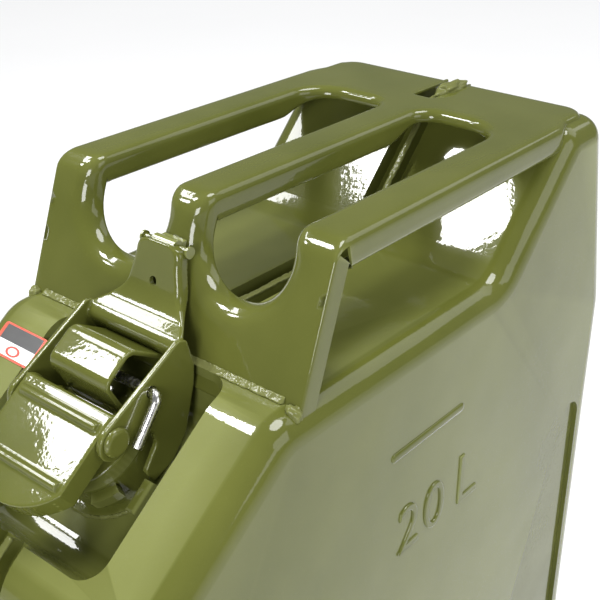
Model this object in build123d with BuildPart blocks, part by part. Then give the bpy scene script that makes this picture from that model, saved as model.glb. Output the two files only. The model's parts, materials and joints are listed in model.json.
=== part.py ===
"""Pressed-steel 20 litre jerry can with a three-bar handle and a cam-lever spout closure.

Frame: origin on the floor under the middle of the can, +X to the rear, +Y to the far side, +Z up.
The spout is at the front, on the sloped shoulder. Its own frame has s up the shoulder to the
rear, h square to the shoulder, and its origin on the axis of the lever rivets.
"""
import os
from math import cos, radians, sin, tan

from build123d import *

# ---- tank, mm ----
LENGTH = 345
WIDTH = 165
SHEET = 1.0                 # wall of the two pressed halves
SIDE_RADIUS = 12            # rounding between a side panel and the rim
SHOULDER_ANGLE = 37         # slope of the front shoulder, degrees
SHOULDER_FOOT = 349         # height where the front face meets the shoulder
BODY_TOP = 410              # flat of the body under the handle
HUMP_TOP = 468.4            # top of the air chamber behind the handle
HUMP_FOOT_X = 61
HUMP_HEAD_X = 117
HUMP_REAR_X = 148
REAR_SHOULDER = 363         # height where the rear face begins
CHANNEL_HALF = 9            # half width of the seam channel round the rim
CHANNEL_DEPTH = 8
FLANGE_SHEET = 1.0          # seam flange of each half
SEAM_INSET = 1.5            # how far the flanges stay below the rim
BEAD_HALF = 1.6             # half width of the seam weld
BEAD_INSET = 0.4            # how far the weld's top stays below the rim
PRESSED_DEPTH = 2.2         # of the triangles in the side panels
PRESSED_ROUND = 10          # their corner radius
PRESSED_PANELS = (          # triangles pressed into each side panel, as (x, z) corners
    ((157, 350), (98, 190), (157, 28)),
    ((-157, 28), (-90, 190), (-157, 330)),
    ((-122, 26), (4, 132), (130, 26)),
)

# ---- spout, in the spout frame ----
PIVOT_X = -125.4
PIVOT_Z = 398.6
FLOOR_H = -38               # floor of the spout pocket
POCKET_FRONT_S = -46
POCKET_REAR_X = -80
POCKET_HALF = 47
POCKET_RADIUS = 12
POCKET_LIP = (-52, 14)      # where the pocket's front leaves the shoulder
POCKET_RISE = 40            # how far the pocket's cut rises above the body
NECK_OUTER = 23.5
NECK_INNER = 21
NECK_TOP_H = -20
NECK_FLANGE = 27
NECK_FLANGE_SHEET = 1.5
LEDGE_OUTER = 28            # arc ledges at the front of the neck
LEDGE_ARC = (35, 61)        # degrees each side of the front
LID_RADIUS = 24
LID_TOP_H = -12
LID_SHEET = 2
INNER_LID_RADIUS = 22.8
GASKET_INNER = 14
GASKET_THICK = 3.3
SEAT_GAP = 0.3              # between gasket and neck rim
LID_RIVET_RADIUS = 3

# ---- yoke, lever and pins ----
WALL_Y = 28                 # outer face of the yoke walls
WALL_SHEET = 2.5
ARM_RADIUS = 8
RIVET_RADIUS = 3.5
RIVET_HEAD = 6
RUNNING_PLAY = 0.06         # radial play of every turning pin
MOVING_GAP = 0.3            # between flat faces that move past each other
LEVER_SHEET = 2.2
LEVER_TOP_H = 6
LEVER_SKIRT_H = -4
LEVER_CAM = 9
LEVER_REAR_S = 6.5
LEVER_CORNER_S = -27
LEVER_TIP_S = -40
BRIDGE_HALF = 17
BRIDGE_SHEET = 2
PIN_RADIUS = 2.1            # wire of the locking pin
PIN_S = 23
PIN_H = -2
PIN_LEG = (2.5, -8.3)       # where the wire leg ends
PIN_BEND = 3.4
PIN_LEG_GAP = 1.4           # between the wire leg and the yoke wall
HINGE_X = -68.3             # yoke hinge in front of the handle plate
HINGE_Z = 451
HINGE_RADIUS = 1.6
HINGE_HEAD = 2.5            # radius of the hinge pin's heads
HINGE_HEAD_SHEET = 1
TAB_HALF = 12               # half width of the yoke's tab
TAB_LEAN = 0.246            # run of the tab per unit of drop
TAB_SHEET = 2
TAB_STANDOFF = 5.5          # tab's front face ahead of the hinge axis
TAB_FOOT_Z = 429

# ---- handle ----
HANDLE_TOP = 470
BAR_WIDTH = 21.5
BAR_HEIGHT = 13
BAR_ROUND = 5.5
BAR_SHEET = 1.6
BAR_FRONT_X = -57
BAR_OUTER_Y = 77.5
WINDOW_REAR_X = 96
WINDOW_ROUND = 20
SCALLOP_Z = 439
PLATE_SHEET = 1.6
PLATE_LEAN = 0.36           # run of the front plate per unit of drop
HEM_DROP = 9                # front plate's hem below the flat of the body
REAR_PLATE_HALF = 70
REAR_PLATE_END = 146

HALF_LENGTH = LENGTH / 2
HALF_WIDTH = WIDTH / 2
theta = radians(SHOULDER_ANGLE)
S_DIR = Vector(cos(theta), 0, sin(theta))
H_DIR = Vector(-sin(theta), 0, cos(theta))
PIVOT = Vector(PIVOT_X, 0, PIVOT_Z)
bar_centre_y = BAR_OUTER_Y - BAR_WIDTH / 2


def spout_point(s, h, y=0):
    """World point of a place given in the spout frame."""
    return PIVOT + S_DIR * s + H_DIR * h + Vector(0, y, 0)


def world_side(y):
    """Sketch plane facing -Y at y, drawn in world x and z."""
    return Plane(origin=(0, y, 0), x_dir=(1, 0, 0), z_dir=(0, -1, 0))


def spout_side(y):
    """Sketch plane facing -Y at y, drawn in s and h."""
    return Plane(origin=spout_point(0, 0, y), x_dir=S_DIR, z_dir=(0, -1, 0))


def spout_level(h):
    """Sketch plane parallel to the shoulder at height h, drawn in s and y."""
    return Plane(origin=spout_point(0, h), x_dir=S_DIR, z_dir=H_DIR)


def export(piece, name):
    """Label a finished piece and write it as its own STEP file."""
    piece.label = name
    export_step(piece, f"parts/{name}.step")


os.makedirs("parts", exist_ok=True)

# ---- forms that several pieces share ----
shoulder_run = (BODY_TOP - SHOULDER_FOOT) / tan(theta)
OUTLINE = (
    (-HALF_LENGTH, 0),
    (-HALF_LENGTH, SHOULDER_FOOT),
    (-HALF_LENGTH + shoulder_run, BODY_TOP),
    (HUMP_FOOT_X, BODY_TOP),
    (HUMP_HEAD_X, HUMP_TOP),
    (HUMP_REAR_X, HUMP_TOP),
    (HALF_LENGTH, REAR_SHOULDER),
    (HALF_LENGTH, 0),
)
OUTLINE_RADII = (30, 26, 22, 24, 14, 11, 45, 30)

with BuildSketch() as outline:
    with BuildLine():
        FilletPolyline(*OUTLINE, radius=list(OUTLINE_RADII), close=True)
    make_face()


def outline_slab(inset, low_y, high_y, edge_radius=0):
    """Slab of the side outline shrunk by inset, between two y values."""
    with BuildPart() as slab:
        with BuildSketch(world_side(high_y)):
            add(outline.sketch)
            if inset:
                offset(amount=-inset)
        extrude(amount=high_y - low_y)
        if edge_radius:
            outer = slab.faces().filter_by(Axis.Y).sort_by(Axis.Y)[-1]
            fillet(outer.edges(), radius=edge_radius)
    return slab.part


def spout_pocket(outset):
    """Pocket sunk into the shoulder round the spout, grown by outset."""
    foot = spout_point(POCKET_FRONT_S, FLOOR_H)
    lip = spout_point(*POCKET_LIP)
    rear_z = foot.Z + (POCKET_REAR_X - foot.X) * tan(theta)
    roof_z = BODY_TOP + POCKET_RISE
    with BuildPart() as pocket:
        with BuildSketch(world_side(POCKET_HALF + outset)):
            with BuildLine():
                Polyline(
                    (foot.X, foot.Z),
                    (POCKET_REAR_X, rear_z),
                    (POCKET_REAR_X, roof_z),
                    (lip.X, roof_z),
                    (lip.X, lip.Z),
                    close=True,
                )
            make_face()
            if outset:
                offset(amount=outset, kind=Kind.INTERSECTION)
        extrude(amount=2 * (POCKET_HALF + outset))
        roof = pocket.faces().sort_by(Axis.Z)[-1]
        front = pocket.faces().sort_by(Axis.X)[0]
        kept = roof.edges() + front.edges()
        fillet(pocket.edges() - kept, radius=POCKET_RADIUS + outset)
    return pocket.part


def side_pressings(outset):
    """Triangles pressed into the far side panel, grown by outset."""
    with BuildPart() as pressed:
        with BuildSketch(world_side(HALF_WIDTH + 1)):
            for corners in PRESSED_PANELS:
                with BuildSketch(mode=Mode.PRIVATE) as panel:
                    Polygon(*corners, align=None)
                    fillet(panel.vertices(), radius=PRESSED_ROUND)
                    if outset:
                        offset(amount=outset)
                add(panel.sketch)
        extrude(amount=PRESSED_DEPTH + outset + 1)
    return pressed.part


def tank_half(inset):
    """Solid of the far half of the tank, shrunk by inset all round."""
    low_y = -1 if inset else 0
    with BuildPart() as half:
        add(outline_slab(inset, CHANNEL_HALF + inset, HALF_WIDTH - inset, SIDE_RADIUS - inset))
        add(outline_slab(CHANNEL_DEPTH + inset, low_y, CHANNEL_HALF + inset))
        add(spout_pocket(inset), mode=Mode.SUBTRACT)
        add(side_pressings(inset), mode=Mode.SUBTRACT)
    return half.part


outer_half = tank_half(0)
tank_solid = outer_half + mirror(outer_half, about=Plane.XZ) + outline_slab(BEAD_INSET, -BEAD_HALF, BEAD_HALF)

# ---- pressed halves of the tank ----
with BuildPart() as far_shell:
    add(outer_half)
    add(outline_slab(SEAM_INSET, 0, FLANGE_SHEET))
    add(spout_pocket(0), mode=Mode.SUBTRACT)
    add(tank_half(SHEET), mode=Mode.SUBTRACT)
    with BuildSketch(spout_level(FLOOR_H - 4)):
        Circle(NECK_INNER)
    extrude(amount=8, mode=Mode.SUBTRACT)
export(far_shell.part, "far_shell")

with BuildPart() as near_shell:
    add(mirror(far_shell.part, about=Plane.XZ))
export(near_shell.part, "near_shell")

# ---- weld bead along the edges of the seam flanges ----
with BuildPart() as seam_weld:
    add(outline_slab(BEAD_INSET, -BEAD_HALF, BEAD_HALF))
    add(outline_slab(SEAM_INSET, -BEAD_HALF, BEAD_HALF), mode=Mode.SUBTRACT)
    add(spout_pocket(0), mode=Mode.SUBTRACT)
export(seam_weld.part, "seam_weld")

# ---- three-bar handle, one pressing with rolled bars ----
plate_run = PLATE_LEAN * (HANDLE_TOP - BODY_TOP)
plate_foot_x = BAR_FRONT_X - plate_run
plate_hem = (plate_foot_x - PLATE_LEAN * HEM_DROP, BODY_TOP - HEM_DROP)
window_low_y = BAR_WIDTH / 2
window_high_y = BAR_OUTER_Y - BAR_WIDTH
window_width = window_high_y - window_low_y
window_mid_y = (window_low_y + window_high_y) / 2
bar_mid_z = HANDLE_TOP - BAR_HEIGHT / 2
bar_length = HUMP_HEAD_X - BAR_FRONT_X
bar_places = [(y, bar_mid_z) for y in (-bar_centre_y, 0, bar_centre_y)]
rear_bridge = HUMP_HEAD_X - WINDOW_REAR_X + WINDOW_ROUND

with BuildPart() as handle_frame:
    with BuildSketch(world_side(BAR_OUTER_Y)):
        with BuildLine():
            Polyline(
                (BAR_FRONT_X, HANDLE_TOP),
                plate_hem,
                (plate_hem[0] + PLATE_SHEET, plate_hem[1]),
                (BAR_FRONT_X + PLATE_SHEET, HANDLE_TOP),
                close=True,
            )
        make_face()
    extrude(amount=2 * BAR_OUTER_Y)
    with BuildSketch(Plane.YZ.offset(BAR_FRONT_X)):
        with Locations(*bar_places):
            RectangleRounded(BAR_WIDTH, BAR_HEIGHT, BAR_ROUND)
    extrude(amount=bar_length)
    with BuildSketch(Plane.XY.offset(HANDLE_TOP - PLATE_SHEET)):
        with Locations((HUMP_HEAD_X - rear_bridge / 2, 0)):
            Rectangle(rear_bridge, 2 * bar_centre_y)
        with Locations(((HUMP_HEAD_X + REAR_PLATE_END) / 2, 0)):
            Rectangle(REAR_PLATE_END - HUMP_HEAD_X, 2 * REAR_PLATE_HALF)
    extrude(amount=PLATE_SHEET)
    with BuildSketch(Plane.YZ.offset(BAR_FRONT_X + PLATE_SHEET)):
        with Locations(*bar_places):
            RectangleRounded(
                BAR_WIDTH - 2 * BAR_SHEET,
                BAR_HEIGHT - 2 * BAR_SHEET,
                BAR_ROUND - BAR_SHEET,
            )
    extrude(amount=bar_length, mode=Mode.SUBTRACT)
    window_run = WINDOW_REAR_X - plate_foot_x + WINDOW_ROUND
    with BuildSketch(Plane.XY.offset(HANDLE_TOP - BAR_HEIGHT)):
        with Locations(*[(WINDOW_REAR_X - window_run / 2, side * window_mid_y) for side in (-1, 1)]):
            RectangleRounded(window_run, window_width, WINDOW_ROUND)
    extrude(amount=BAR_HEIGHT + 1, mode=Mode.SUBTRACT)
    scallop_height = 2 * (HANDLE_TOP - SCALLOP_Z)
    with BuildSketch(Plane.YZ.offset(plate_foot_x - 1)):
        with Locations(*[(side * window_mid_y, HANDLE_TOP) for side in (-1, 1)]):
            RectangleRounded(window_width, scallop_height, WINDOW_ROUND)
    extrude(amount=plate_run + PLATE_SHEET + 2, mode=Mode.SUBTRACT)
    add(tank_solid, mode=Mode.SUBTRACT)
export(handle_frame.part, "handle_frame")

# ---- weld along the foot of the handle's front plate ----
FOOT_WELD = 2.5
with BuildPart() as handle_foot_weld:
    with BuildSketch(world_side(HALF_WIDTH - SIDE_RADIUS)):
        with BuildLine():
            Polyline(
                (plate_foot_x, BODY_TOP),
                (plate_foot_x - FOOT_WELD, BODY_TOP),
                (plate_foot_x + PLATE_LEAN * FOOT_WELD, BODY_TOP + FOOT_WELD),
                close=True,
            )
        make_face()
    extrude(amount=HALF_WIDTH - SIDE_RADIUS - CHANNEL_HALF)
    mirror(about=Plane.XZ)
export(handle_foot_weld.part, "handle_foot_weld")

# ---- spout neck with its base flange and two arc ledges ----
LEDGE_LEVELS = (-27, -22)
ledge_mid = sum(LEDGE_ARC) / 2
ledge_reach = 2 * LEDGE_OUTER
ledge_spread = ledge_reach * tan(radians(LEDGE_ARC[1] - LEDGE_ARC[0]) / 2)
with BuildPart() as spout_neck:
    with BuildSketch(spout_level(FLOOR_H)):
        Circle(NECK_OUTER)
    extrude(amount=NECK_TOP_H - FLOOR_H)
    with BuildSketch(spout_level(FLOOR_H)):
        Circle(NECK_FLANGE)
    extrude(amount=NECK_FLANGE_SHEET)
    for side in (-1, 1):
        with BuildSketch(spout_level(LEDGE_LEVELS[0])):
            Circle(LEDGE_OUTER)
            with Locations(Location((0, 0), 180 + side * ledge_mid)):
                Polygon(
                    (0, 0),
                    (ledge_reach, -ledge_spread),
                    (ledge_reach, ledge_spread),
                    align=None,
                    mode=Mode.INTERSECT,
                )
        extrude(amount=LEDGE_LEVELS[1] - LEDGE_LEVELS[0])
    with BuildSketch(spout_level(FLOOR_H)):
        Circle(NECK_INNER)
    extrude(amount=NECK_TOP_H - FLOOR_H, mode=Mode.SUBTRACT)
    top_rim = spout_neck.edges().filter_by(GeomType.CIRCLE).sort_by(Axis(PIVOT, H_DIR))[-2:]
    fillet(top_rim, radius=0.9)
    add(far_shell.part, mode=Mode.SUBTRACT)
    add(near_shell.part, mode=Mode.SUBTRACT)
export(spout_neck.part, "spout_neck")

# ---- fillet weld round the neck's base flange ----
NECK_WELD = 1.4
with BuildPart() as neck_weld:
    with BuildSketch(spout_level(FLOOR_H)):
        Circle(NECK_FLANGE + NECK_WELD)
        Circle(NECK_FLANGE, mode=Mode.SUBTRACT)
    extrude(amount=NECK_FLANGE_SHEET)
    outer_rim = neck_weld.edges().filter_by(GeomType.CIRCLE).sort_by(Axis(PIVOT, H_DIR))[-2:]
    chamfer(outer_rim.sort_by(SortBy.RADIUS)[-1], length=NECK_WELD - 0.2)
    add(far_shell.part, mode=Mode.SUBTRACT)
    add(near_shell.part, mode=Mode.SUBTRACT)
export(neck_weld.part, "neck_weld")

# ---- guide blocks that centre the yoke beside the neck ----
GUIDE_S = (-18, -4)
GUIDE_TOP_H = -25
GUIDE_THICK = 5
guide_y = WALL_Y + 0.5 + GUIDE_THICK / 2
guide_mid_s = sum(GUIDE_S) / 2
with BuildPart() as guide_blocks:
    with BuildSketch(spout_level(FLOOR_H)):
        with Locations((guide_mid_s, guide_y), (guide_mid_s, -guide_y)):
            Rectangle(GUIDE_S[1] - GUIDE_S[0], GUIDE_THICK)
    extrude(amount=GUIDE_TOP_H - FLOOR_H)
    guide_tops = guide_blocks.faces().filter_by(lambda face: face.normal_at().dot(H_DIR) > 0.99)
    fillet(guide_tops.edges(), radius=1.6)
export(guide_blocks.part, "guide_blocks")

# ---- hinge lug on the front plate, with its pin ----
LUG_HALF = 6.3
LUG_RADIUS = 3.2
LUG_REACH = 12
LUG_TRIM = 30               # depth of the cut that fits the lug to the front plate
LUG_ARM_RISE = 1.8          # arm's top above the hinge axis, low enough for the open yoke's tab
with BuildPart() as hinge_lug:
    with BuildSketch(world_side(LUG_HALF)):
        with Locations((HINGE_X, HINGE_Z)):
            Circle(LUG_RADIUS)
        with Locations((HINGE_X, HINGE_Z - LUG_RADIUS)):
            Rectangle(LUG_REACH, LUG_RADIUS + LUG_ARM_RISE, align=(Align.MIN, Align.MIN))
    extrude(amount=2 * LUG_HALF)
    with BuildSketch(world_side(LUG_HALF + 1)):
        with BuildLine():
            Polyline(
                (BAR_FRONT_X, HANDLE_TOP),
                (plate_foot_x, BODY_TOP),
                (plate_foot_x + LUG_TRIM, BODY_TOP),
                (BAR_FRONT_X + LUG_TRIM, HANDLE_TOP),
                close=True,
            )
        make_face()
    extrude(amount=2 * LUG_HALF + 2, mode=Mode.SUBTRACT)
    with BuildSketch(world_side(LUG_HALF + 1)):
        with Locations((HINGE_X, HINGE_Z)):
            Circle(HINGE_RADIUS)
    extrude(amount=2 * LUG_HALF + 2, mode=Mode.SUBTRACT)
export(hinge_lug.part, "hinge_lug")

with BuildPart() as hinge_pin:
    with BuildSketch(world_side(TAB_HALF + HINGE_HEAD_SHEET)):
        with Locations((HINGE_X, HINGE_Z)):
            Circle(HINGE_RADIUS)
    extrude(amount=2 * (TAB_HALF + HINGE_HEAD_SHEET))
    for end in (-1, 1):
        with BuildSketch(world_side(end * (TAB_HALF + MOVING_GAP) + (HINGE_HEAD_SHEET if end > 0 else 0))):
            with Locations((HINGE_X, HINGE_Z)):
                Circle(HINGE_HEAD)
        extrude(amount=HINGE_HEAD_SHEET)
export(hinge_pin.part, "hinge_pin")

# ---- breather tube from the neck to the air chamber, and its clips ----
BREATHER_RADIUS = 3.5
BREATHER_BORE = 2.7
BREATHER_Z = 391
BREATHER_ROUTE = ((-90, 358), (-70, BREATHER_Z), (62, BREATHER_Z), (112, 441))
with BuildLine(world_side(0)) as breather_route:
    FilletPolyline(*BREATHER_ROUTE, radius=[15, 25])
with BuildPart() as breather_tube:
    with BuildSketch(Plane(origin=breather_route.line @ 0, z_dir=breather_route.line % 0)):
        Circle(BREATHER_RADIUS)
        Circle(BREATHER_BORE, mode=Mode.SUBTRACT)
    sweep(path=breather_route.line)
export(breather_tube.part, "breather_tube")

CLIP_PLACES = (-40, 40)
CLIP_LENGTH = 8
channel_ceiling = BODY_TOP - CHANNEL_DEPTH - SHEET
with BuildPart() as breather_clips:
    for clip_x in CLIP_PLACES:
        with BuildSketch(Plane.YZ.offset(clip_x)):
            with Locations((0, BREATHER_Z)):
                Circle(BREATHER_RADIUS + 1.5)
            with Locations((0, channel_ceiling)):
                Rectangle(7, channel_ceiling - BREATHER_Z, align=(Align.CENTER, Align.MAX))
            with Locations((0, BREATHER_Z)):
                Circle(BREATHER_RADIUS, mode=Mode.SUBTRACT)
        extrude(amount=CLIP_LENGTH)
export(breather_clips.part, "breather_clips")

# ---- pictogram label on the far side of the shoulder ----
LABEL_SIZE = (15, 28)
LABEL_PLACE = (17, 57)
LABEL_SHEET = 0.25
shoulder_h = (Vector(-HALF_LENGTH, 0, SHOULDER_FOOT) - PIVOT).dot(H_DIR)
with BuildPart() as label:
    with BuildSketch(spout_level(shoulder_h)):
        with Locations(LABEL_PLACE):
            RectangleRounded(*LABEL_SIZE, 1.5)
    extrude(amount=LABEL_SHEET)
export(label.part, "label")

# ---- yoke that carries the lid, hinged at its tab ----
WALL_OUTLINE = (
    (0, 8), (44.5, 1), (46, -2.5), (42.5, -14), (36.7, -20.5), (20, -33.5), (10, -35),
    (-2, -32.5), (-1.6, -25.5), (9.5, -21.5), (11.5, -15.5), (7, -9.2), (0, -8),
)
TAB_TOP_RISE = 2
FLANGE_DEPTH = 6            # tab's side flanges, back towards the handle plate
FLANGE_AT_HINGE = 2.3       # how far they reach behind the hinge axis
FLANGE_AT_TOP = 1
TAB_TRIM = 40               # size of the cuts beside the tab
SEAL_HOLE_Z = 438
SEAL_HOLE_RADIUS = 2
wall_inner_y = WALL_Y - WALL_SHEET
tab_face_x = HINGE_X - TAB_STANDOFF
tab_foot_x = tab_face_x - TAB_LEAN * (HINGE_Z - TAB_FOOT_Z)
tab_top = (tab_face_x + TAB_LEAN * TAB_TOP_RISE, HINGE_Z + TAB_TOP_RISE)
web_bend = spout_point(43, 0)
web_end = spout_point(39, -12)
with BuildLine() as web_path:
    FilletPolyline(
        tab_top,
        (tab_foot_x, TAB_FOOT_Z),
        (web_bend.X, web_bend.Z),
        (web_end.X, web_end.Z),
        radius=[1.5, 3],
    )
with BuildPart() as yoke:
    with BuildSketch(spout_side(WALL_Y)):
        Polygon(*WALL_OUTLINE, align=None)
        Circle(ARM_RADIUS)
    extrude(amount=WALL_SHEET)
    mirror(about=Plane.XZ)
    with BuildSketch(world_side(wall_inner_y)):
        with BuildLine():
            add(web_path.line)
            offset(amount=-TAB_SHEET, side=Side.LEFT)
        make_face()
    extrude(amount=2 * wall_inner_y)
    with BuildSketch(Plane.YZ.offset(tab_foot_x - TAB_TRIM / 2)):
        with Locations((0, TAB_FOOT_Z + 1)):
            for side in (-1, 1):
                with Locations((side * TAB_HALF, 0)):
                    Rectangle(TAB_TRIM, TAB_TRIM, align=(Align.MIN if side > 0 else Align.MAX, Align.MIN))
    extrude(amount=1.5 * TAB_TRIM, mode=Mode.SUBTRACT)
    for side in (-1, 1):
        with BuildSketch(world_side(TAB_HALF if side > 0 else -TAB_HALF + TAB_SHEET)):
            with BuildLine():
                Polyline(
                    tab_top,
                    (tab_foot_x, TAB_FOOT_Z),
                    (tab_foot_x + FLANGE_DEPTH, TAB_FOOT_Z),
                    (HINGE_X + FLANGE_AT_HINGE, HINGE_Z),
                    (HINGE_X + FLANGE_AT_TOP, HINGE_Z + TAB_TOP_RISE),
                    close=True,
                )
            make_face()
        extrude(amount=TAB_SHEET)
    with BuildSketch(world_side(WALL_Y)):
        with Locations((HINGE_X, HINGE_Z)):
            Circle(HINGE_RADIUS + RUNNING_PLAY)
    extrude(amount=2 * WALL_Y, mode=Mode.SUBTRACT)
    with BuildSketch(Plane.YZ.offset(tab_foot_x - 2)):
        with Locations((0, SEAL_HOLE_Z)):
            Circle(SEAL_HOLE_RADIUS)
    extrude(amount=12, mode=Mode.SUBTRACT)
    with BuildSketch(spout_side(WALL_Y + 1)):
        Circle(RIVET_RADIUS)
        with Locations((PIN_S, PIN_H)):
            Circle(PIN_RADIUS + RUNNING_PLAY)
    extrude(amount=2 * WALL_Y + 2, mode=Mode.SUBTRACT)
export(yoke.part, "yoke")

# ---- lid stack: lid, inner lid, gasket, washer and the rivet that holds them ----
lid_base_h = LID_TOP_H - LID_SHEET
gasket_low_h = NECK_TOP_H + SEAT_GAP
gasket_top_h = gasket_low_h + GASKET_THICK
LID_SKIRT = 1.5
with BuildPart() as lid:
    with BuildSketch(spout_level(gasket_low_h + 0.2)):
        Circle(LID_RADIUS)
    extrude(amount=LID_TOP_H - gasket_low_h - 0.2)
    lid_crown = lid.faces().filter_by(lambda face: face.normal_at().dot(H_DIR) > 0.99)
    fillet(lid_crown.edges(), radius=1.4)
    with BuildSketch(spout_level(gasket_low_h)):
        Circle(INNER_LID_RADIUS)
    extrude(amount=lid_base_h - gasket_low_h, mode=Mode.SUBTRACT)
    with BuildSketch(spout_level(lid_base_h)):
        Circle(LID_RIVET_RADIUS)
    extrude(amount=LID_SHEET, mode=Mode.SUBTRACT)
export(lid.part, "lid")

with BuildPart() as inner_lid:
    with BuildSketch(spout_level(gasket_top_h)):
        Circle(INNER_LID_RADIUS)
        Circle(LID_RIVET_RADIUS, mode=Mode.SUBTRACT)
    extrude(amount=lid_base_h - gasket_top_h)
export(inner_lid.part, "inner_lid")

with BuildPart() as gasket:
    with BuildSketch(spout_level(gasket_low_h)):
        Circle(INNER_LID_RADIUS)
        Circle(GASKET_INNER, mode=Mode.SUBTRACT)
    extrude(amount=GASKET_THICK)
export(gasket.part, "gasket")

WASHER_SHEET = 1.6
with BuildPart() as gasket_washer:
    with BuildSketch(spout_level(gasket_top_h - WASHER_SHEET)):
        Circle(GASKET_INNER)
        Circle(LID_RIVET_RADIUS, mode=Mode.SUBTRACT)
    extrude(amount=WASHER_SHEET)
export(gasket_washer.part, "gasket_washer")

BRIDGE_FOOT_H = LID_TOP_H + BRIDGE_SHEET / 2
RIVET_CAP = 1.8
with BuildPart() as lid_rivet:
    foot_top_h = LID_TOP_H + BRIDGE_SHEET
    washer_low_h = gasket_top_h - WASHER_SHEET
    for level, radius, height in (
        (washer_low_h - RIVET_CAP, LID_RIVET_RADIUS + 2, RIVET_CAP),
        (washer_low_h, LID_RIVET_RADIUS, foot_top_h - washer_low_h),
        (foot_top_h, LID_RIVET_RADIUS + 2, RIVET_CAP),
    ):
        with BuildSketch(spout_level(level)):
            Circle(radius)
        extrude(amount=height)
export(lid_rivet.part, "lid_rivet")

# ---- arched bridge between the web of the yoke and the lid ----
with BuildPart() as pressure_bridge:
    with BuildSketch(spout_side(BRIDGE_HALF)):
        with BuildLine():
            FilletPolyline(
                (-7, BRIDGE_FOOT_H),
                (12, BRIDGE_FOOT_H),
                (15, 8.5),
                (31, 8.5),
                (38.5, -9),
                radius=[2, 4, 5],
            )
            offset(amount=BRIDGE_SHEET / 2, side=Side.BOTH)
        make_face()
    extrude(amount=2 * BRIDGE_HALF)
    with BuildSketch(spout_level(LID_TOP_H)):
        Circle(LID_RIVET_RADIUS)
    extrude(amount=BRIDGE_SHEET, mode=Mode.SUBTRACT)
    add(yoke.part, mode=Mode.SUBTRACT)
export(pressure_bridge.part, "pressure_bridge")

# ---- lever rivets, one through each yoke wall ----
RIVET_DOME = 2.4
with BuildPart() as lever_rivets:
    with BuildSketch(spout_side(WALL_Y)):
        Circle(RIVET_RADIUS)
    extrude(amount=WALL_SHEET + MOVING_GAP + LEVER_SHEET + 0.4)
    with BuildSketch(spout_side(WALL_Y + RIVET_DOME)):
        Circle(RIVET_HEAD)
    extrude(amount=RIVET_DOME)
    dome = lever_rivets.faces().filter_by(Axis.Y).sort_by(Axis.Y)[-1]
    fillet(dome.edges(), radius=1.8)
    mirror(about=Plane.XZ)
export(lever_rivets.part, "lever_rivets")

# ---- cam lever with its pressed thumb end ----
lever_half = WALL_Y - WALL_SHEET - MOVING_GAP
RIB_PLACES = (0.5, -25)
RIB_RADIUS = 1.9
RIB_MARGIN = 3              # from the ribs' ends to the lever's sides
with BuildSketch() as lever_plan:
    with BuildLine():
        Polyline(
            (LEVER_CORNER_S, -lever_half),
            (LEVER_REAR_S, -lever_half),
            (LEVER_REAR_S, lever_half),
            (LEVER_CORNER_S, lever_half),
        )
        ThreePointArc(
            (LEVER_CORNER_S, lever_half),
            (LEVER_TIP_S, 0),
            (LEVER_CORNER_S, -lever_half),
        )
    make_face()
with BuildPart() as cam_lever:
    with BuildSketch(spout_level(LEVER_SKIRT_H)):
        add(lever_plan.sketch)
    extrude(amount=LEVER_TOP_H - LEVER_SKIRT_H)
    with BuildSketch(spout_side(lever_half)):
        Circle(LEVER_CAM)
    extrude(amount=2 * lever_half)
    with BuildSketch(spout_side(lever_half)):
        with Locations((0, LEVER_TOP_H)):
            Rectangle(60, 20, align=(Align.CENTER, Align.MIN))
    extrude(amount=2 * lever_half, mode=Mode.SUBTRACT)
    with BuildSketch(spout_side(lever_half - RIB_MARGIN)):
        with Locations(*[(s, LEVER_TOP_H) for s in RIB_PLACES]):
            Circle(RIB_RADIUS)
    extrude(amount=2 * (lever_half - RIB_MARGIN))
    with BuildSketch(spout_level(-LEVER_CAM - 1)):
        add(lever_plan.sketch)
        offset(amount=-LEVER_SHEET)
        with Locations((LEVER_REAR_S, 0)):
            Rectangle(20, 2 * (lever_half - LEVER_SHEET))
    extrude(amount=LEVER_TOP_H - LEVER_SHEET + LEVER_CAM + 1, mode=Mode.SUBTRACT)
    with BuildSketch(spout_side(WALL_Y)):
        Circle(RIVET_RADIUS + RUNNING_PLAY)
    extrude(amount=2 * WALL_Y, mode=Mode.SUBTRACT)
export(cam_lever.part, "cam_lever")

# ---- locking pin bent from one wire ----
pin_far_y = WALL_Y + 3
pin_near_y = -(WALL_Y + PIN_LEG_GAP + PIN_RADIUS)
pin_start = spout_point(PIN_S, PIN_H, pin_far_y)
pin_corner = spout_point(PIN_S, PIN_H, pin_near_y)
pin_end = spout_point(*PIN_LEG, pin_near_y)
with BuildLine() as pin_path:
    FilletPolyline(pin_start, pin_corner, pin_end, radius=PIN_BEND)
with BuildPart() as locking_pin:
    with BuildSketch(Plane(origin=pin_start, z_dir=(0, -1, 0))):
        Circle(PIN_RADIUS)
    sweep(path=pin_path.line)
export(locking_pin.part, "locking_pin")
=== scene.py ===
"""Looks for the jerry can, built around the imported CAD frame. Metres, in the frame's axes:
spout towards -X, near side towards -Y, up +Z. Shapes are worked out in millimetres and scaled by MM."""
import json
import math

import bmesh
import bpy
from mathutils import Matrix, Vector, noise
from mathutils.geometry import delaunay_2d_cdt


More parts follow.
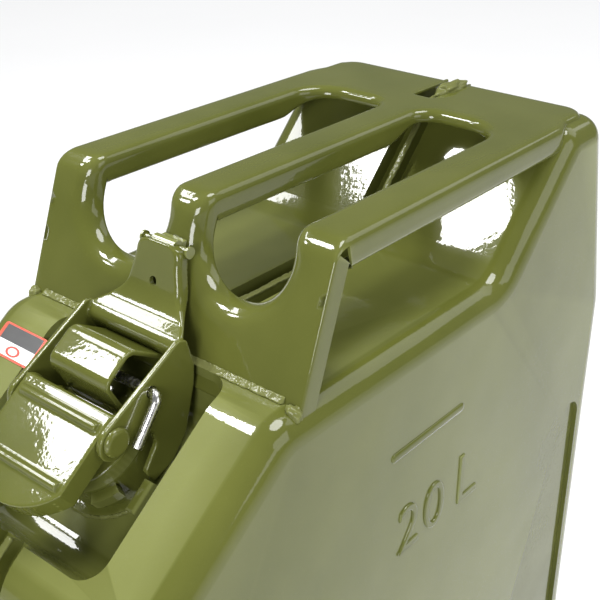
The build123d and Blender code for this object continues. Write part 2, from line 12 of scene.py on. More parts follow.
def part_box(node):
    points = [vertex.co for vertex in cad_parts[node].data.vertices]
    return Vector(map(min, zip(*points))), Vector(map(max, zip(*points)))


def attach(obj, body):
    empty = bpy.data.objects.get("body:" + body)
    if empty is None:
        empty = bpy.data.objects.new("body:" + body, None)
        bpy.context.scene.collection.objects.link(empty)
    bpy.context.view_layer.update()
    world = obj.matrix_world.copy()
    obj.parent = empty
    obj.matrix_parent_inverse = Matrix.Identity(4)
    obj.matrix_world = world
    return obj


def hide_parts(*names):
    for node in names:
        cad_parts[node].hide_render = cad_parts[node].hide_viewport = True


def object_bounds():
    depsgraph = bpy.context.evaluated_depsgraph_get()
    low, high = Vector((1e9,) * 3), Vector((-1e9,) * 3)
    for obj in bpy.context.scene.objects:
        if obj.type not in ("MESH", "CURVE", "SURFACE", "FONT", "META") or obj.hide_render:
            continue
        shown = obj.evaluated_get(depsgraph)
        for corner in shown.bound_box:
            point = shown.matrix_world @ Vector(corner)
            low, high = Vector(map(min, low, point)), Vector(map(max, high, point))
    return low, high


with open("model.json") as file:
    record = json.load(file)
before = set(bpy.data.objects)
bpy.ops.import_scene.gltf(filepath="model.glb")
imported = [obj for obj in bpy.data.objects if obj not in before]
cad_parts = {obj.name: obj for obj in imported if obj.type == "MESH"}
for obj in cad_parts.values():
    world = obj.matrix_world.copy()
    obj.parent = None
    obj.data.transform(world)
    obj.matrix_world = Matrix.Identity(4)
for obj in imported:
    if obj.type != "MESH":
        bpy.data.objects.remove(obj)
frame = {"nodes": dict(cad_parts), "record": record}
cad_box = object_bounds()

NODES = frame["nodes"]
MM = 0.001


# ---------------------------------------------------------------- camera, floor and light
EYE = (-0.3426, -0.2995, 0.6345)        # over the spout's near corner
VIEW_DIRECTION = (0.6867, 0.5760, -0.4430)  # 26 degrees down
LENS = 66.4
SENSOR = 36.0
LENS_SHIFT = -0.035

SOFTBOXES = (   # name, place, what it points at, size, watts
    ("key_softbox", (-0.32, 0.47, 1.20), (0.07, 0, 0.44), (0.2, 0.18), 5.0),
    ("lever_card", (-0.51, 0.67, 1.05), (-0.145, -0.01, 0.41), (0.14, 0.12), 1.8),
    ("rib_strip", (-0.145, 0.81, 1.29), (-0.145, -0.01, 0.41), (0.5, 0.12), 4.5),
    ("front_softbox", (-1.35, -0.6, 0.8), (-0.07, 0, 0.44), (0.5, 0.55), 15),
    ("rear_softbox", (1.22, -0.6, 1.53), (0.05, 0, 0.46), (0.9, 0.8), 4.5),
    ("side_fill", (0.2, -1.7, 1.25), (0.05, 0, 0.35), (1.1, 0.9), 8),
)
CEILING_DIRECTION = (-0.25, 0.2, -0.95)
CEILING_STRENGTH = 2.6
CEILING_SPREAD = 28                     # degrees
ROOM_COLOR = (0.95, 0.97, 1.0, 1)
ROOM_STRENGTH = 0.22
FLOOR_SIZE = 24
FLOOR_Z = -0.0005


def turn_to(direction):
    """Rotation that points a camera or lamp along a direction."""
    return Vector(direction).to_track_quat("-Z", "Y").to_matrix().to_4x4()


def camera():
    """The photograph's viewing angle."""
    data = bpy.data.cameras.new("camera")
    data.lens, data.sensor_width = LENS, SENSOR
    data.shift_y = LENS_SHIFT
    data.clip_start = 0.01
    cam = bpy.data.objects.new("camera", data)
    cam.matrix_world = Matrix.Translation(EYE) @ turn_to(VIEW_DIRECTION)
    bpy.context.scene.collection.objects.link(cam)
    bpy.context.scene.camera = cam


def area(name, place, target, size, power):
    """Rectangular softbox that the camera doesn't see."""
    data = bpy.data.lights.new(name, "AREA")
    data.shape, data.size, data.size_y = "RECTANGLE", size[0], size[1]
    data.energy = power
    lamp = bpy.data.objects.new(name, data)
    lamp.visible_camera = False
    lamp.matrix_world = Matrix.Translation(place) @ turn_to(Vector(target) - Vector(place))
    bpy.context.scene.collection.objects.link(lamp)


def ceiling():
    """Wide soft light from above, and the pale room round it."""
    data = bpy.data.lights.new("ceiling_softbox", "SUN")
    data.energy, data.angle = CEILING_STRENGTH, math.radians(CEILING_SPREAD)
    lamp = bpy.data.objects.new("ceiling_softbox", data)
    lamp.matrix_world = turn_to(CEILING_DIRECTION)
    bpy.context.scene.collection.objects.link(lamp)
    room = bpy.data.worlds.new("world")
    room.use_nodes = True
    background = room.node_tree.nodes["Background"]
    background.inputs["Color"].default_value = ROOM_COLOR
    background.inputs["Strength"].default_value = ROOM_STRENGTH
    bpy.context.scene.world = room


class Tree:
    """A short way to write a node tree."""

    def __init__(self, name):
        self.material = bpy.data.materials.new(name)
        self.material.use_nodes = True
        self.tree = self.material.node_tree
        self.shader = self.tree.nodes["Principled BSDF"]
        self.coords = self.node("ShaderNodeTexCoord").outputs["Object"]

    def node(self, kind, **settings):
        """A new node with its settings."""
        made = self.tree.nodes.new(kind)
        for key, value in settings.items():
            setattr(made, key, value)
        return made

    def put(self, target, value):
        """Link a socket to an input, or set the input's own value."""
        if isinstance(value, bpy.types.NodeSocket):
            self.tree.links.new(value, target)
        else:
            target.default_value = value

    def noise(self, scale, detail=2.0, rough=0.5, stretch=None):
        """Noise in the object's own metres."""
        source = self.coords
        if stretch:
            mapping = self.node("ShaderNodeMapping")
            self.put(mapping.inputs["Vector"], source)
            mapping.inputs["Scale"].default_value = stretch
            source = mapping.outputs[0]
        made = self.node("ShaderNodeTexNoise")
        self.put(made.inputs["Vector"], source)
        made.inputs["Scale"].default_value = scale
        made.inputs["Detail"].default_value = detail
        made.inputs["Roughness"].default_value = rough
        return made.outputs["Fac"]

    def span(self, value, a, b, c, d):
        """A value's range a to b moved to c to d, and held there."""
        made = self.node("ShaderNodeMapRange")
        self.put(made.inputs["Value"], value)
        for key, v in (("From Min", a), ("From Max", b), ("To Min", c), ("To Max", d)):
            made.inputs[key].default_value = v
        return made.outputs[0]

    def math(self, kind, a, b=0.0):
        """One operation on one or two values."""
        made = self.node("ShaderNodeMath", operation=kind)
        self.put(made.inputs[0], a)
        self.put(made.inputs[1], b)
        return made.outputs[0]

    def mix(self, fac, a, b):
        """Colour a at 0, b at 1."""
        made = self.node("ShaderNodeMix", data_type="RGBA")
        self.put(made.inputs["Factor"], fac)
        self.put(made.inputs["A"], a)
        self.put(made.inputs["B"], b)
        return made.outputs["Result"]

    def bump(self, height, distance, under=None):
        """Bumped normal, on top of another where one is given."""
        made = self.node("ShaderNodeBump")
        self.put(made.inputs["Height"], height)
        made.inputs["Distance"].default_value = distance
        if under is not None:
            self.put(made.inputs["Normal"], under)
        return made.outputs[0]

    def edges(self, low, high):
        """0 on flats, 1 on outer edges."""
        made = self.node("ShaderNodeNewGeometry")
        return self.span(made.outputs["Pointiness"], low, high, 0.0, 1.0)

    def set(self, **values):
        """Inputs of the shader, by their names with _ for a space."""
        for key, value in values.items():
            self.put(self.shader.inputs[key.replace("_", " ")], value)


OLIVE_DEEP = (0.077, 0.086, 0.015, 1)
OLIVE_LIGHT = (0.103, 0.112, 0.023, 1)
# painted highlight: the pale green laid on every outer edge of the powder coat
PAINTED_EDGE_HIGHLIGHT = (0.24, 0.26, 0.09, 1)


def powder_coat(name, deep=OLIVE_DEEP, light=OLIVE_LIGHT, peel=1.0, rough=(0.16, 0.26), coat=0.66):
    """Glossy powder coat: orange peel, a slow ripple of the pressed sheet, a few dust nibs, paler
    specks, and a painted highlight that lightens its outer edges."""
    t = Tree(name)
    drift = t.noise(14, 3, 0.6)
    color = t.mix(t.span(drift, 0.3, 0.7, 0.0, 1.0), deep, light)
    speck = t.noise(900, 2, 0.6)
    pale = (light[0] * 1.25, light[1] * 1.22, light[2] * 1.5, 1)
    color = t.mix(t.span(speck, 0.62, 0.74, 0.0, 0.22), color, pale)
    # painted highlight: outer edges (by pointiness) are lightened towards a pale green
    color = t.mix(t.math("MULTIPLY", t.edges(0.52, 0.62), 0.45), color, PAINTED_EDGE_HIGHLIGHT)
    t.set(Base_Color=color, Roughness=t.span(t.noise(60, 4, 0.6), 0.3, 0.7, *rough))
    ripple = t.bump(t.noise(24, 1, 0.4), 0.00055)
    orange = t.bump(t.noise(420, 1.5, 0.5), 0.00003 * peel, ripple)
    nibs = t.bump(t.span(t.noise(1400, 1, 0.5), 0.70, 0.80, 0.0, 1.0), 0.00004 * peel, orange)
    t.set(Normal=nibs, Specular_IOR_Level=0.06)
    t.set(Coat_Weight=coat, Coat_Roughness=0.03, Coat_IOR=1.5, Coat_Normal=orange)
    return t.material


def zinc(name):
    """Bright zinc plate with fine draw marks of the wire."""
    t = Tree(name)
    color = t.mix(t.noise(180, 3), (0.62, 0.61, 0.58, 1), (0.80, 0.79, 0.77, 1))
    scratch = t.noise(700, 2, 0.6, stretch=(0.3, 1, 1))
    t.set(Base_Color=color, Metallic=1.0, Roughness=t.span(scratch, 0.3, 0.7, 0.16, 0.34))
    t.set(Normal=t.bump(scratch, 0.00002))
    return t.material


def rubber(name):
    """Moulded black rubber with a fine grain."""
    t = Tree(name)
    t.set(Base_Color=t.mix(t.noise(200, 3), (0.018, 0.018, 0.018, 1), (0.035, 0.034, 0.033, 1)),
          Roughness=t.span(t.noise(90, 3), 0.3, 0.7, 0.5, 0.75), Normal=t.bump(t.noise(1200, 2), 0.00002))
    return t.material


def label_material():
    """White film with an orange-red edge, a dark upper field and a generic ring."""
    t = Tree("label_film")
    low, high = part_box("label")
    centre = (low + high) / 2
    half = (high - low) / 2
    split = t.node("ShaderNodeSeparateXYZ")
    t.put(split.inputs[0], t.coords)
    across = t.math("DIVIDE", t.math("SUBTRACT", split.outputs["Y"], centre.y), half.y)
    along = t.math("DIVIDE", t.math("SUBTRACT", split.outputs["X"], centre.x), half.x)
    from_middle = t.math("MAXIMUM", t.math("ABSOLUTE", across), t.math("ABSOLUTE", along))
    white = t.mix(t.noise(220, 3), (0.72, 0.71, 0.68, 1), (0.82, 0.81, 0.79, 1))
    color = t.mix(t.math("GREATER_THAN", along, -0.05), white, (0.02, 0.02, 0.02, 1))
    offset = t.math("ADD", along, 0.5)
    radius_squared = t.math("ADD", t.math("MULTIPLY", offset, offset), t.math("MULTIPLY", across, across))
    ring = t.math("LESS_THAN", t.math("ABSOLUTE", t.math("SUBTRACT", radius_squared, 0.07)), 0.03)
    color = t.mix(ring, color, (0.5, 0.03, 0.01, 1))
    color = t.mix(t.math("GREATER_THAN", from_middle, 0.86), color, (0.5, 0.045, 0.008, 1))
    t.set(Base_Color=color, Roughness=t.span(t.noise(300, 2), 0.3, 0.7, 0.28, 0.42))
    t.set(Normal=t.bump(t.noise(500, 2), 0.00003))
    return t.material


def floor_material():
    """Plain pale floor."""
    t = Tree("floor")
    t.set(Base_Color=t.mix(t.noise(3, 3), (0.93, 0.93, 0.93, 1), (0.96, 0.96, 0.96, 1)), Roughness=0.6)
    return t.material


camera()
for softbox in SOFTBOXES:
    area(*softbox)
ceiling()
bpy.context.scene.view_settings.view_transform = "Standard"

bpy.ops.mesh.primitive_plane_add(size=FLOOR_SIZE, location=(0, 0, FLOOR_Z))
floor = bpy.context.object
floor.name = "floor"
floor.data.materials.append(floor_material())

# ---------------------------------------------------------------- materials on the CAD nodes
green = powder_coat("powder_coat")
weld = powder_coat("coated_weld", deep=(0.098, 0.108, 0.024, 1), light=(0.15, 0.158, 0.055, 1),
                   peel=2.0, rough=(0.3, 0.45), coat=0.25)
metal = zinc("zinc_wire")
black = rubber("gasket_rubber")
lining = powder_coat("inner_coat", deep=(0.15, 0.045, 0.025, 1), light=(0.24, 0.085, 0.045, 1),
                     peel=1.5, rough=(0.35, 0.5))
slots = {
    "powder_coat": green, "coated_weld": weld, "zinc_wire": metal,
    "gasket_rubber": black, "inner_coat": lining, "label_film": label_material(),
}
for item in frame["record"]["subparts"]:
    node = NODES[item["node"]]
    node.data.materials.clear()
    node.data.materials.append(slots[item["material_slot"]])


# ---------------------------------------------------------------- mesh helpers
def new_piece(name, mesh, body, material):
    """A finished piece: named, coloured and riding on its CAD body."""
    piece = bpy.data.objects.new(name, mesh)
    bpy.context.scene.collection.objects.link(piece)
    mesh.materials.clear()
    mesh.materials.append(material)
    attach(piece, body)
    return piece


def smooth(mesh, angle):
    """Smooth shading, with edges past an angle kept sharp."""
    for face in mesh.polygons:
        face.use_smooth = True
    mesh.set_sharp_from_angle(angle=math.radians(angle))


def baked(piece):
    """Apply the piece's modifiers, so its mesh is final."""
    depsgraph = bpy.context.evaluated_depsgraph_get()
    mesh = bpy.data.meshes.new_from_object(piece.evaluated_get(depsgraph))
    piece.modifiers.clear()
    piece.data = mesh
    return piece


def rounded_loop(corners, step):
    """Closed outline with rounded corners, as points about one step apart. Corners are (a, b, radius)."""
    points = []
    count = len(corners)
    for i, (a, b, radius) in enumerate(corners):
        here = Vector((a, b))
        back = (Vector(corners[i - 1][:2]) - here).normalized()
        ahead = (Vector(corners[(i + 1) % count][:2]) - here).normalized()
        half = math.acos(max(-1, min(1, back.dot(ahead)))) / 2
        centre = here + (back + ahead).normalized() * radius / math.sin(half)
        start = here + back * radius / math.tan(half) - centre
        end = here + ahead * radius / math.tan(half) - centre
        turn = start.angle_signed(end) * -1
        steps = max(2, round(abs(turn) * radius / step), round(abs(turn) / 0.2))
        for k in range(steps + 1):
            points.append(centre + Matrix.Rotation(turn * k / steps, 2) @ start)
    filled = []
    for i, point in enumerate(points):
        after = points[(i + 1) % len(points)]
        parts = max(1, round((after - point).length / step))
        filled += [point.lerp(after, k / parts) for k in range(parts)]
    return filled


def inside(point, loop):
    """Whether a point lies inside a closed outline."""
    x, y = point
    hit = False
    for i in range(len(loop)):
        (x1, y1), (x2, y2) = loop[i - 1], loop[i]
        if (y1 > y) != (y2 > y) and x < (x2 - x1) * (y - y1) / (y2 - y1) + x1:
            hit = not hit
    return hit


# ---------------------------------------------------------------- handle: one pressing with rolled bars
HANDLE_LOW, HANDLE_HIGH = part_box("handle_frame")
TOP = HANDLE_HIGH.z / MM
REAR_X = HANDLE_HIGH.x / MM
BAR_Y = HANDLE_HIGH.y / MM
FRONT_X = -57.0
LEAN = math.atan(0.36)          # front plate's lean from upright
TURN = math.pi / 2 - LEAN
BEND = 11.0                     # outer radius of the bend from the top into the front plate
BEND_X = FRONT_X + BEND * math.tan(TURN / 2)
FLAT_RUN = REAR_X - BEND_X
BEND_RUN = BEND * TURN
FOOT_Z = 400.5
SCALLOP_Z = 437
HANDLE_SHEET = 1.3
LOOP_STEP = 2.4                 # spacing of points along the sheet's outlines
GRID_STEP = 5.0                 # spacing of points on its flats
CURL_RADIUS = 2.6


def plate_run(z):
    """Run along the handle sheet at which its front plate reaches a height."""
    return FLAT_RUN + BEND_RUN + (TOP - z) / math.cos(LEAN) - BEND * math.tan(TURN / 2)


FOOT_RUN = plate_run(FOOT_Z)


def on_sheet(run, v, deep):
    """Point on the handle sheet, in mm: run forward from its rear edge, v sideways, and deep under
    its outer face."""
    if run <= FLAT_RUN:
        return Vector((REAR_X - run, v, TOP - deep))
    centre_z = TOP - BEND
    if run <= FLAT_RUN + BEND_RUN:
        angle = (run - FLAT_RUN) / BEND
        x = BEND_X - (BEND - deep) * math.sin(angle)
        return Vector((x, v, centre_z + (BEND - deep) * math.cos(angle)))
    rest = run - FLAT_RUN - BEND_RUN
    x = BEND_X - (BEND - deep) * math.sin(TURN) - rest * math.cos(TURN)
    z = centre_z + (BEND - deep) * math.cos(TURN) - rest * math.sin(TURN)
    return Vector((x, v, z))


def eased(value, low, high):
    """Smooth step from 0 at low to 1 at high."""
    t = max(0.0, min(1.0, (value - low) / (high - low)))
    return t * t * (3 - 2 * t)


def rim_of_sheet(run, v):
    """Roll radius, flange depth and curl of the sheet's outer rim at a place."""
    if abs(v - 1) < 7.5 and run < 40:
        return 0.7, 1.6, 0.0
    if run < 9:
        return 4.0, 8.5, 0.0
    bar = eased(run, 26, 33)
    front = eased(run, FLAT_RUN + 1, FLAT_RUN + BEND_RUN)
    return 3.2 + 0.8 * bar - 2.9 * front, (4.5 + 8.5 * bar) * (1 - front) + 9.0 * front, bar * (1 - front)


def rim_of_window(run, v):
    """The same for a hand window, which dishes wide where it cuts into the front plate."""
    front = eased(run, FLAT_RUN - 2, FLAT_RUN + BEND_RUN + 6)
    rear = 1 - eased(run, 52, 78)
    return 4.0 + 5.2 * front, 13.0 - 2.0 * front - 7.5 * rear, 1.0 - 0.7 * front - 0.6 * rear


def rim(loop, rule, sheet_inside, bm, rings_out, open_where=None):
    """Rolled flange along one outline: returns the flat boundary loop, and makes the flange's faces."""
    count = len(loop)
    area2 = sum(loop[i - 1].x * loop[i].y - loop[i].x * loop[i - 1].y for i in range(count))
    sign = (1 if area2 > 0 else -1) * (1 if sheet_inside else -1)
    rings = []
    for i, point in enumerate(loop):
        tangent = (loop[(i + 1) % count] - loop[i - 1]).normalized()
        out = Vector((tangent.y, -tangent.x)) * sign
        roll, depth, curl = rule(point.x, point.y)
        small = CURL_RADIUS * min(1.0, 0.25 + curl)
        base = point - out * roll
        angles = [math.radians(18 * k) for k in range(6)]
        steps = [(roll * math.sin(a), roll * (1 - math.cos(a))) for a in angles]
        low = max(depth - small, roll + 0.3)
        steps += [(roll, roll + (low - roll) * k / 3) for k in (1, 2, 3)]
        for k in range(1, 7):
            a = math.radians(30 * k) * curl
            down = low + small * math.sin(a) + 0.35 * (1 - curl) * k / 6
            steps.append((roll - small * (1 - math.cos(a)), down))
        rings.append((base, [bm.verts.new(on_sheet(*(base + out * s), w)) for s, w in steps]))
    for i in range(count):
        a, b = rings[i - 1][1], rings[i][1]
        skip = open_where and open_where(loop[i])
        for k in range(len(a) - 1):
            if skip and k >= 4:
                break
            bm.faces.new((a[k], a[k + 1], b[k + 1], b[k]))
    rings_out.append([(base, verts[0]) for base, verts in rings])


def outer_outline():
    """Outline of the handle sheet, with the notch at its rear, as (run, v, corner radius)."""
    side = BAR_Y
    return rounded_loop([
        (0, 7, 1.5), (0, 74, 12), (23, 74, 8), (33, side, 8),
        (FOOT_RUN, side + 1.5, 3), (FOOT_RUN, -side - 1.5, 3),
        (33, -side, 8), (23, -74, 8), (0, -74, 12), (0, -5, 1.5), (34, -5, 2), (34, 7, 2),
    ], LOOP_STEP)


def window_outline(side):
    """Outline of one hand window, which runs over the bend into the front plate."""
    low, high = 10.75, BAR_Y - 21.5
    end = plate_run(SCALLOP_Z)
    corners = [(51, side * low, 11), (51, side * high, 20), (end, side * high, 22), (end, side * low, 22)]
    return rounded_loop(corners, LOOP_STEP)


def handle_pressing():
    """The whole handle as one sheet with rolled flanges, open at the near and far bars' front ends."""
    side = BAR_Y
    windows = [window_outline(s) for s in (1, -1)]
    bm = bmesh.new()
    loops = []
    gap = (FLAT_RUN + 1.0, FLAT_RUN + 7.5)
    rim(outer_outline(), rim_of_sheet, True, bm, loops, lambda p: gap[0] < p.x < gap[1] and abs(p.y) > 70)
    for window in windows:
        rim(window, rim_of_window, False, bm, loops)
    flat = [[base for base, _ in loop] for loop in loops]
    points, owners, edges = [], [], []
    for loop in loops:
        start = len(points)
        for k, (base, vert) in enumerate(loop):
            points.append(base)
            owners.append(vert)
            edges.append((start + k, start + (k + 1) % len(loop)))
    run = 2.0
    while run < FOOT_RUN:
        near_bend = FLAT_RUN - 3 < run < FLAT_RUN + BEND_RUN + 3
        v = -side + 3
        while v < side:
            spot = Vector((run, v))
            on_metal = inside(spot, flat[0]) and not any(inside(spot, w) for w in flat[1:])
            if on_metal and min((spot - p).length for loop in flat for p in loop) > 1.2:
                points.append(spot)
                owners.append(None)
            v += 4.5
        run += 1.5 if near_bend else GRID_STEP
    made, _, faces, origins, _, _ = delaunay_2d_cdt(points, edges, [], 0, 1e-5)
    verts = []
    for place, origin in zip(made, origins):
        kept = [owners[k] for k in origin if owners[k]]
        verts.append(kept[0] if kept else bm.verts.new(on_sheet(place.x, place.y, 0)))
    for face in faces:
        middle = sum((made[i] for i in face), Vector((0, 0))) / len(face)
        if inside(middle, flat[0]) and not any(inside(middle, w) for w in flat[1:]):
            bm.faces.new([verts[i] for i in face])
    bmesh.ops.remove_doubles(bm, verts=bm.verts, dist=0.02)
    bmesh.ops.recalc_face_normals(bm, faces=bm.faces)
    top = max(bm.faces, key=lambda f: f.calc_area() if f.calc_center_median().z > TOP - 0.1 else 0)
    if top.normal.z < 0:
        bmesh.ops.reverse_faces(bm, faces=bm.faces)
    bmesh.ops.scale(bm, vec=(MM, MM, MM), verts=bm.verts)
    mesh = bpy.data.meshes.new("handle_pressing")
    bm.to_mesh(mesh)
    bm.free()
    piece = new_piece("handle_pressing", mesh, "tank", green)
    solid = piece.modifiers.new("sheet", "SOLIDIFY")
    solid.thickness, solid.offset = HANDLE_SHEET * MM, -1
    baked(piece)
    smooth(piece.data, 50)
    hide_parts("handle_frame")


# ---------------------------------------------------------------- welds and capacity mark
def rough_weld(node, voxel, swell, seed):
    """A CAD weld with the lumps and ripples of a hand-laid bead."""
    mesh = NODES[node].data.copy()
    piece = new_piece(node + "_bead", mesh, "tank", weld)
    remesh = piece.modifiers.new("remesh", "REMESH")
    remesh.mode, remesh.voxel_size = "VOXEL", voxel * MM
    baked(piece)
    shift = Vector((seed, seed * 0.7, 0))
    for vert in piece.data.vertices:
        spot = vert.co / MM
        wave = noise.noise(spot * 0.33 + shift) + 0.6 * noise.noise(spot * 0.9 + shift)
        vert.co += vert.normal * (wave * swell * MM)
    smooth(piece.data, 180)
    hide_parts(node)
    return piece


def lump(name, centre, size, seed):
    """A blob of weld, squashed to size and roughened. In mm."""
    bm = bmesh.new()
    bmesh.ops.create_icosphere(bm, subdivisions=4, radius=1)
    for vert in bm.verts:
        coarse = noise.noise(vert.co * 1.7 + Vector((seed, 0, 0)))
        fine = noise.noise(vert.co * 4.5 + Vector((0, seed, 0)))
        grow = 1 + 0.35 * coarse + 0.14 * fine
        vert.co = Vector(a * b * grow for a, b in zip(vert.co, size)) * MM + Vector(centre) * MM
    mesh = bpy.data.meshes.new(name)
    bm.to_mesh(mesh)
    bm.free()
    smooth(mesh, 180)
    return new_piece(name, mesh, "tank", weld)


MARK_Z = 303.5                  # foot of the capacity mark
MARKS = (("mark_number", "20", -17.5, 36.0), ("mark_unit", "L", 29.5, 40.0))
LINE_MIDDLE = (4.0, 359.5)      # raised line over the mark, as x and z
LINE_SIZE = (2.6, 1.1, 2.3)     # radii of its ends
LINE_STRETCH = 25.5


def mark(name, text, x, size):
    """One word of the capacity mark, soft-edged, standing on the near side panel."""
    curve = bpy.data.curves.new("mark_text", "FONT")
    curve.body, curve.size = text, size * MM
    curve.extrude, curve.bevel_depth, curve.bevel_resolution = 0.2 * MM, 0.75 * MM, 3
    curve.offset = -0.8 * MM
    curve.space_character = 1.12
    shape = bpy.data.objects.new("mark_text", curve)
    bpy.context.scene.collection.objects.link(shape)
    stand = Matrix.Rotation(math.pi / 2, 4, "X")
    shape.matrix_world = Matrix.Translation((x * MM, cad_box[0].y, MARK_Z * MM)) @ stand
    bpy.context.view_layer.update()
    depsgraph = bpy.context.evaluated_depsgraph_get()
    mesh = bpy.data.meshes.new_from_object(shape.evaluated_get(depsgraph))
    mesh.transform(shape.matrix_world)
    bpy.data.objects.remove(shape)
    smooth(mesh, 60)
    new_piece(name, mesh, "tank", green)


def mark_line():
    """The raised line over the capacity mark."""
    bm = bmesh.new()
    bmesh.ops.create_uvsphere(bm, u_segments=24, v_segments=16, radius=1)
    for vert in bm.verts:
        x = vert.co.x * LINE_SIZE[0] + math.copysign(LINE_STRETCH, vert.co.x) + LINE_MIDDLE[0]
        y = cad_box[0].y + vert.co.y * LINE_SIZE[1] * MM
        vert.co = Vector((x * MM, y, (LINE_MIDDLE[1] + vert.co.z * LINE_SIZE[2]) * MM))
    mesh = bpy.data.meshes.new("mark_line")
    bm.to_mesh(mesh)
    bm.free()
    smooth(mesh, 180)
    new_piece("mark_line", mesh, "tank", green)


# ---------------------------------------------------------------- closure
SLOPE = math.radians(37)
PIVOT = Vector((-125.4, 0, 398.6))
ALONG = Vector((math.cos(SLOPE), 0, math.sin(SLOPE)))
ABOVE = Vector((-math.sin(SLOPE), 0, math.cos(SLOPE)))


def spout(s, h, y=0.0):
    """Point beside the spout: s up the slope and h off it from the lever's rivets. In mm."""
    return PIVOT + ALONG * s + ABOVE * h + Vector((0, y, 0))


def circle(a, b, radius, count=28):
    """Closed round outline."""
    angles = [math.tau * k / count for k in range(count)]
    return [Vector((a + radius * math.cos(angle), b + radius * math.sin(angle))) for angle in angles]


def prism(bm, outline, holes, place):
    """Closed plate between place(a, b, 0) and place(a, b, 1), with holes through it."""
    loops = [outline] + holes
    points = [p for loop in loops for p in loop]
    edges, start = [], 0
    for loop in loops:
        edges += [(start + k, start + (k + 1) % len(loop)) for k in range(len(loop))]
        start += len(loop)
    made, _, faces, origins, _, _ = delaunay_2d_cdt(points, edges, [], 0, 1e-6)
    sides = [[bm.verts.new(place(p.x, p.y, side)) for p in made] for side in (0, 1)]
    index = {}
    for k, origin in enumerate(origins):
        for o in origin:
            index[o] = k
    for face in faces:
        middle = sum((made[i] for i in face), Vector((0, 0))) / len(face)
        if inside(middle, outline) and not any(inside(middle, hole) for hole in holes):
            for side in sides:
                bm.faces.new([side[i] for i in face])
    for a, b in edges:
        a, b = index[a], index[b]
        if a != b:
            bm.faces.new((sides[0][a], sides[0][b], sides[1][b], sides[1][a]))


def sweep_curve(points, count):
    """Smooth open curve through the points, evenly sampled."""
    samples = []
    ext = [points[0] * 2 - points[1]] + list(points) + [points[-1] * 2 - points[-2]]
    for i in range(1, len(ext) - 2):
        p0, p1, p2, p3 = ext[i - 1:i + 3]
        square = 2 * p0 - 5 * p1 + 4 * p2 - p3
        cube = 3 * p1 - p0 - 3 * p2 + p3
        for k in range(12):
            t = k / 12
            samples.append(0.5 * (2 * p1 + (p2 - p0) * t + square * t * t + cube * t ** 3))
    samples.append(ext[-2])
    length = [0.0]
    for a, b in zip(samples, samples[1:]):
        length.append(length[-1] + (b - a).length)
    out = []
    for k in range(count):
        goal = length[-1] * k / (count - 1)
        i = max(j for j in range(len(length)) if length[j] <= goal + 1e-9)
        if i == len(samples) - 1:
            out.append(samples[-1])
        else:
            out.append(samples[i].lerp(samples[i + 1], (goal - length[i]) / (length[i + 1] - length[i])))
    return out


def soft_copy(node, name, body, material, voxel=0.45, rounds=4):
    """A CAD solid with its corners eased, as pressed and coated metal has them."""
    piece = new_piece(name, NODES[node].data.copy(), body, material)
    ease(piece, voxel, rounds)
    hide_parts(node)
    return piece


def ease(piece, voxel, rounds):
    """Join a piece's solids into one skin and soften its corners."""
    remesh = piece.modifiers.new("remesh", "REMESH")
    remesh.mode, remesh.voxel_size = "VOXEL", voxel * MM
    soften = piece.modifiers.new("soften", "SMOOTH")
    soften.factor, soften.iterations = 0.5, rounds
    baked(piece)
    smooth(piece.data, 180)


def drill(piece, centre, radius):
    """A hole along X through a sheet. In mm."""
    bm = bmesh.new()
    turn = Matrix.Translation(Vector(centre) * MM) @ Matrix.Rotation(math.pi / 2, 4, "Y")
    bmesh.ops.create_cone(bm, cap_ends=True, segments=40, radius1=radius * MM, radius2=radius * MM,
                          depth=14 * MM, matrix=turn)
    mesh = bpy.data.meshes.new("drill")
    bm.to_mesh(mesh)
    bm.free()
    cutter = bpy.data.objects.new("drill", mesh)
    bpy.context.scene.collection.objects.link(cutter)
    hole = piece.modifiers.new("hole", "BOOLEAN")
    hole.operation, hole.object, hole.solver = "DIFFERENCE", cutter, "MANIFOLD"
    baked(piece)
    bpy.data.objects.remove(cutter)
    smooth(piece.data, 50)


YOKE_WALL = (   # outline of one side wall in the spout's frame, as (s, h, corner radius)
    (-8, 8, 7.8), (44.5, 1.2, 3), (47, -2.5, 2), (42.5, -14, 6), (36.7, -20.5, 10), (20, -33.5, 8),
    (8, -36, 5), (-3.5, -33, 2.4), (-2, -25.5, 2), (9.5, -21.5, 3), (11.5, -15.5, 3), (7, -8.2, 3),
    (-8, -8, 7.8),
)
WALL_INNER_Y = 25.5
WALL_SHEET = 2.5
PIN_HOLE = (23, -2, 2.5)
TAB_LINE = (    # middle of the tab and web from the top down, as (x, z)
    (-73.2, 453.8), (-75.6, 444), (-78.2, 434.5), (-82.6, 428.2),
    (-88.3, 424.9), (-91.2, 420.6), (-88.9, 415.3), (-86.6, 411.2),
)
TAB_ROWS = 54
TAB_SHEET = 1.9
TAB_CORNER = 5.0                # radius of the tab's upper corners
SEAL_HOLE = (-79.0, 0, 438)
SEAL_HOLE_RADIUS = 2.0


def tangent_at(line, i):
    """Direction of a line of points at one of them."""
    return (line[min(i + 1, len(line) - 1)] - line[max(i - 1, 0)]).normalized()


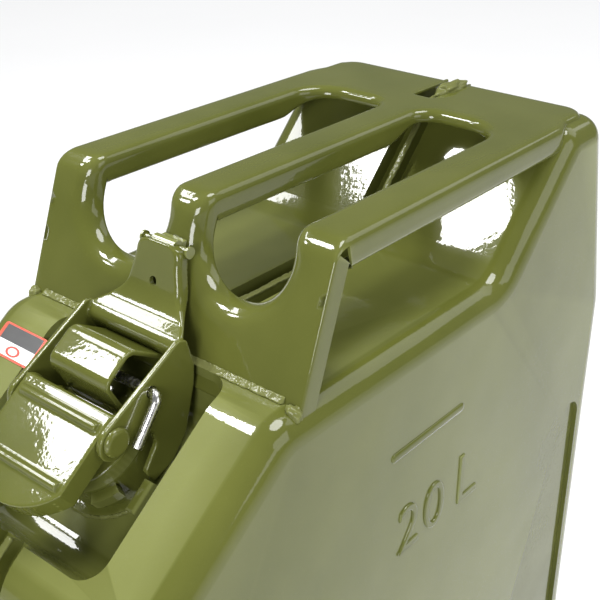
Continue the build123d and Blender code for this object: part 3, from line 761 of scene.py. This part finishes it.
def tab_section(line, i):
    """Outer face of the tab and web across one place of their line, as (place, y) pairs."""
    spot = line[i]
    t = i / (len(line) - 1)
    tangent = tangent_at(line, i)
    inward = Vector((-tangent.y, tangent.x))
    down = (line[0].y - spot.y)
    corner = TAB_CORNER - min(down, TAB_CORNER)
    top_round = TAB_CORNER - math.sqrt(max(0.0, TAB_CORNER ** 2 - corner ** 2))
    half = 12.6 + 3.0 * eased(t, 0.1, 0.45) + 11.4 * eased(t, 0.36, 0.72) - top_round
    depth = 5.6 - 4.4 * eased(t, 0.35, 0.6) - 1.5 * (1 - eased(t, 0.0, 0.12))
    roll = 2.6 - 1.2 * eased(t, 0.4, 0.6)
    across = [(half, depth), (half, (depth + roll) / 2)]
    angles = [math.radians(18 * k) for k in range(6)]
    across += [(half - roll + roll * math.cos(a), roll - roll * math.sin(a)) for a in angles]
    across += [((half - roll) * k / 6, 0.0) for k in range(5, -1, -1)]
    across = across + [(-y, w) for y, w in across[-2::-1]]
    return [(spot + inward * w, y) for y, w in across]


def tab_backing(line, i, row):
    """Inner face opposite one section, a sheet's thickness behind it."""
    tangent = tangent_at(line, i)
    inward = Vector((-tangent.y, tangent.x)) * TAB_SHEET
    limit = max(abs(y) for _, y in row) - TAB_SHEET
    backing = []
    for place, y in row:
        share = 1 if abs(y) < limit else 0.15
        y = max(-limit, min(limit, y))
        backing.append(Vector((place.x + inward.x * share, y, place.y + inward.y * share)))
    return backing


def yoke_pressing():
    """Tab, web and side walls of the yoke as one pressing. The tab widens into the web, and its
    sides fold back."""
    bm = bmesh.new()
    wall = rounded_loop(YOKE_WALL[::-1], 1.2)
    for side in (-1, 1):
        prism(bm, wall, [circle(*PIN_HOLE)],
              lambda a, b, k: spout(a, b, side * (WALL_INNER_Y + WALL_SHEET * k)))
    line = sweep_curve([Vector(p) for p in TAB_LINE], TAB_ROWS)
    rows = [tab_section(line, i) for i in range(len(line))]
    grid = [[bm.verts.new((p.x, y, p.y)) for p, y in row] for row in rows]
    back = [[bm.verts.new(place) for place in tab_backing(line, i, row)] for i, row in enumerate(rows)]
    count = len(grid[0])
    for i in range(len(grid) - 1):
        for k in range(count - 1):
            bm.faces.new((grid[i][k], grid[i + 1][k], grid[i + 1][k + 1], grid[i][k + 1]))
            bm.faces.new((back[i][k], back[i][k + 1], back[i + 1][k + 1], back[i + 1][k]))
        for k in (0, count - 1):
            bm.faces.new((grid[i][k], grid[i + 1][k], back[i + 1][k], back[i][k]))
    for i in (0, len(grid) - 1):
        for k in range(count - 1):
            bm.faces.new((grid[i][k], grid[i][k + 1], back[i][k + 1], back[i][k]))
    bmesh.ops.recalc_face_normals(bm, faces=bm.faces)
    bmesh.ops.scale(bm, vec=(MM, MM, MM), verts=bm.verts)
    mesh = bpy.data.meshes.new("yoke_pressing")
    bm.to_mesh(mesh)
    bm.free()
    piece = new_piece("yoke_pressing", mesh, "yoke", green)
    ease(piece, 0.42, 3)
    drill(piece, SEAL_HOLE, SEAL_HOLE_RADIUS)
    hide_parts("yoke")


def closure():
    """The yoke, the lever and what they carry."""
    yoke_pressing()
    soft_copy("cam_lever", "lever_pressing", "lever", green, 0.45, 4)
    soft_copy("pressure_bridge", "bridge_pressing", "yoke", green, 0.45, 4)
    soft_copy("lever_rivets", "rivet_domes", "yoke", green, 0.3, 6)
    soft_copy("locking_pin", "wire_pin", "pin", metal, 0.3, 4)


handle_pressing()
closure()
rough_weld("seam_weld", 0.75, 0.35, 3.0)
rough_weld("handle_foot_weld", 0.6, 0.4, 7.0)
rough_weld("neck_weld", 0.5, 0.4, 11.0)
lump("rear_weld_tail", (132, -3, 470.2), (13, 4.4, 3.2), 5.0)
lump("plate_weld_knob", (-79.4, -75.5, 407.5), (3.8, 4.0, 4.2), 9.0)
lump("plate_weld_knob_far", (-79.4, 75.5, 407.5), (3.8, 4.0, 4.2), 15.0)
for words in MARKS:
    mark(*words)
mark_line()
